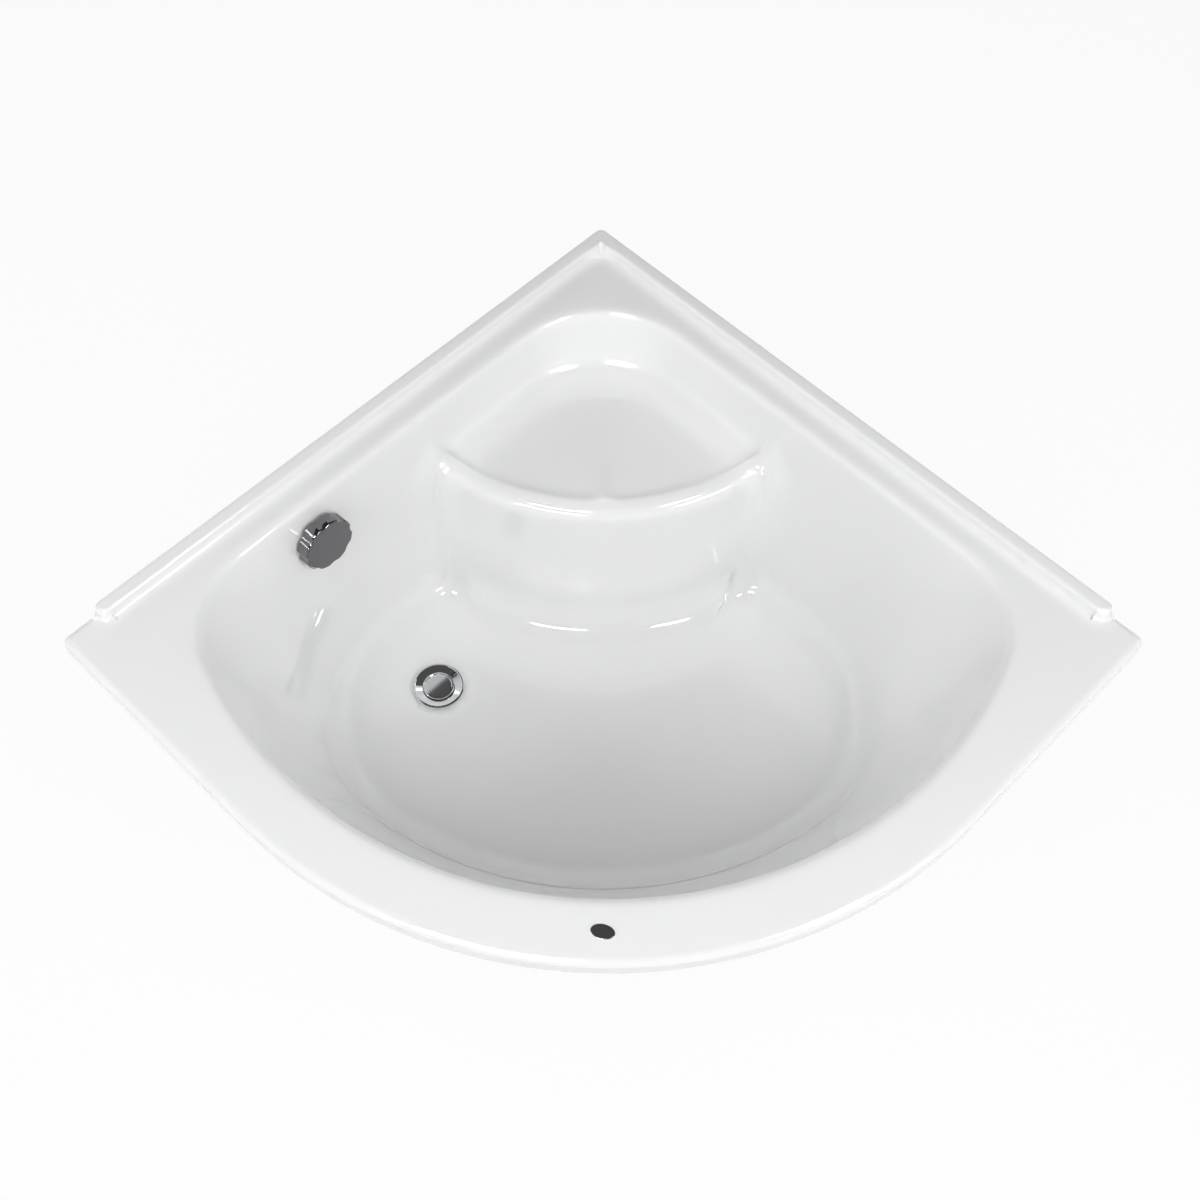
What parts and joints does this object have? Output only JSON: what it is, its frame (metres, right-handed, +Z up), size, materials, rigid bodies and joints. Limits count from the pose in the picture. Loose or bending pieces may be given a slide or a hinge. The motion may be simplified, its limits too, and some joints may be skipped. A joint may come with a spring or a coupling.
{
  "type": "quadrant shower tray",
  "caption": "Deep white acrylic quadrant shower tray with a moulded corner seat, chrome plug drain and rotary overflow knob, on a steel frame with levelling feet.",
  "frame": {"origin": "centre of the bounding box in plan, on the floor that the feet stand on", "axes": "+Z up; -Y is the curved front; +Y is the wall corner; the plan is symmetric about x = 0"},
  "size_m": [1.2644, 1.0303, 0.518],
  "materials": {
    "acrylic": "glossy white sanitary acrylic",
    "glassfibre": "rough glass-fibre laminate",
    "chipboard": "raw chipboard",
    "softwood": "planed softwood",
    "zinc_steel": "zinc plated",
    "chrome": "polished",
    "badge_metal": "polished",
    "white_plastic": "satin moulded",
    "black_plastic": "satin moulded",
    "grey_plastic": "satin moulded",
    "seal_rubber": "matt",
    "brass": "turned"
  },
  "bodies": {
    "tray": {"tray_shell": "acrylic", "glassfibre_backing": "glassfibre", "badge_plate": "badge_metal", "base_board": "chipboard", "seat_board": "chipboard", "rim_batten_left": "softwood", "rim_batten_right": "softwood", "rim_batten_front": "softwood", "crossbar_rear": "zinc_steel", "crossbar_front": "zinc_steel", "frame_spine": "zinc_steel", "seat_post": "zinc_steel", "frame_bolts": "zinc_steel", "frame_nuts": "zinc_steel", "bar_screws": "zinc_steel", "seat_post_screws": "zinc_steel", "seat_post_bolts": "zinc_steel", "leg_weld_nuts": "zinc_steel", "leg_lock_nuts": "zinc_steel", "drain_flange_seal": "seal_rubber", "drain_flange": "chrome", "drain_body_seal": "seal_rubber", "drain_body": "white_plastic", "rocker_pin": "zinc_steel", "trap_body": "white_plastic", "trap_washer": "seal_rubber", "trap_nut": "white_plastic", "trap_dip_tube": "white_plastic", "trap_cap": "white_plastic", "trap_cap_seal": "seal_rubber", "outlet_nut": "white_plastic", "outlet_pipe": "grey_plastic", "overflow_bezel": "chrome", "overflow_seal": "seal_rubber", "overflow_body": "white_plastic", "overflow_hose": "white_plastic", "hose_nut_upper": "white_plastic", "hose_nut_lower": "white_plastic", "control_cable": "black_plastic", "cable_glands": "black_plastic"},
    "plug": {"plug_cap": "chrome", "plug_seal": "seal_rubber", "plug_stem": "brass"},
    "lifter": {"lifter": "brass"},
    "rocker": {"lift_rocker": "black_plastic"},
    "knob": {"overflow_knob": "chrome", "knob_spindle": "brass", "cable_crank": "black_plastic"},
    "foot_rear_left": {"leg_stud_rear_left": "zinc_steel", "foot_pad_rear_left": "black_plastic"},
    "foot_rear_right": {"leg_stud_rear_right": "zinc_steel", "foot_pad_rear_right": "black_plastic"},
    "foot_front_left": {"leg_stud_front_left": "zinc_steel", "foot_pad_front_left": "black_plastic"},
    "foot_front_right": {"leg_stud_front_right": "zinc_steel", "foot_pad_front_right": "black_plastic"},
    "foot_seat": {"leg_stud_seat": "zinc_steel", "foot_pad_seat": "black_plastic"}
  },
  "joints": [
    {"name": "knob_turn", "type": "hinge", "parent": "tray", "child": "knob", "pos_m": [-0.35906, 0.07234, 0.434], "axis": [0.704, -0.704, 0.0937], "range_deg": [0, 90]},
    {"name": "rocker_turn", "type": "hinge", "parent": "tray", "child": "rocker", "pos_m": [-0.23411, -0.0018, 0.0987], "axis": [0.5736, -0.8192, 0], "range_deg": [0, 28.65]},
    {"name": "lifter_slide", "type": "slide", "parent": "tray", "child": "lifter", "axis": [0, 0, 1], "range_m": [0, 0.008]},
    {"name": "plug_lift_out", "type": "slide", "parent": "lifter", "child": "plug", "axis": [0, 0, 1], "range_m": [0, 0.06]},
    {"name": "foot_rear_left_level", "type": "slide", "parent": "tray", "child": "foot_rear_left", "axis": [0, 0, 1], "range_m": [-0.008, 0.008]},
    {"name": "foot_rear_right_level", "type": "slide", "parent": "tray", "child": "foot_rear_right", "axis": [0, 0, 1], "range_m": [-0.008, 0.008]},
    {"name": "foot_front_left_level", "type": "slide", "parent": "tray", "child": "foot_front_left", "axis": [0, 0, 1], "range_m": [-0.008, 0.008]},
    {"name": "foot_front_right_level", "type": "slide", "parent": "tray", "child": "foot_front_right", "axis": [0, 0, 1], "range_m": [-0.008, 0.008]},
    {"name": "foot_seat_level", "type": "slide", "parent": "tray", "child": "foot_seat", "axis": [0, 0, 1], "range_m": [-0.008, 0.008]}
  ],
  "couplings": [
    {"joint": "lifter_slide", "follows": "knob_turn", "m_per_rad": 0.005093},
    {"joint": "rocker_turn", "follows": "knob_turn", "ratio": 0.31831}
  ]
}
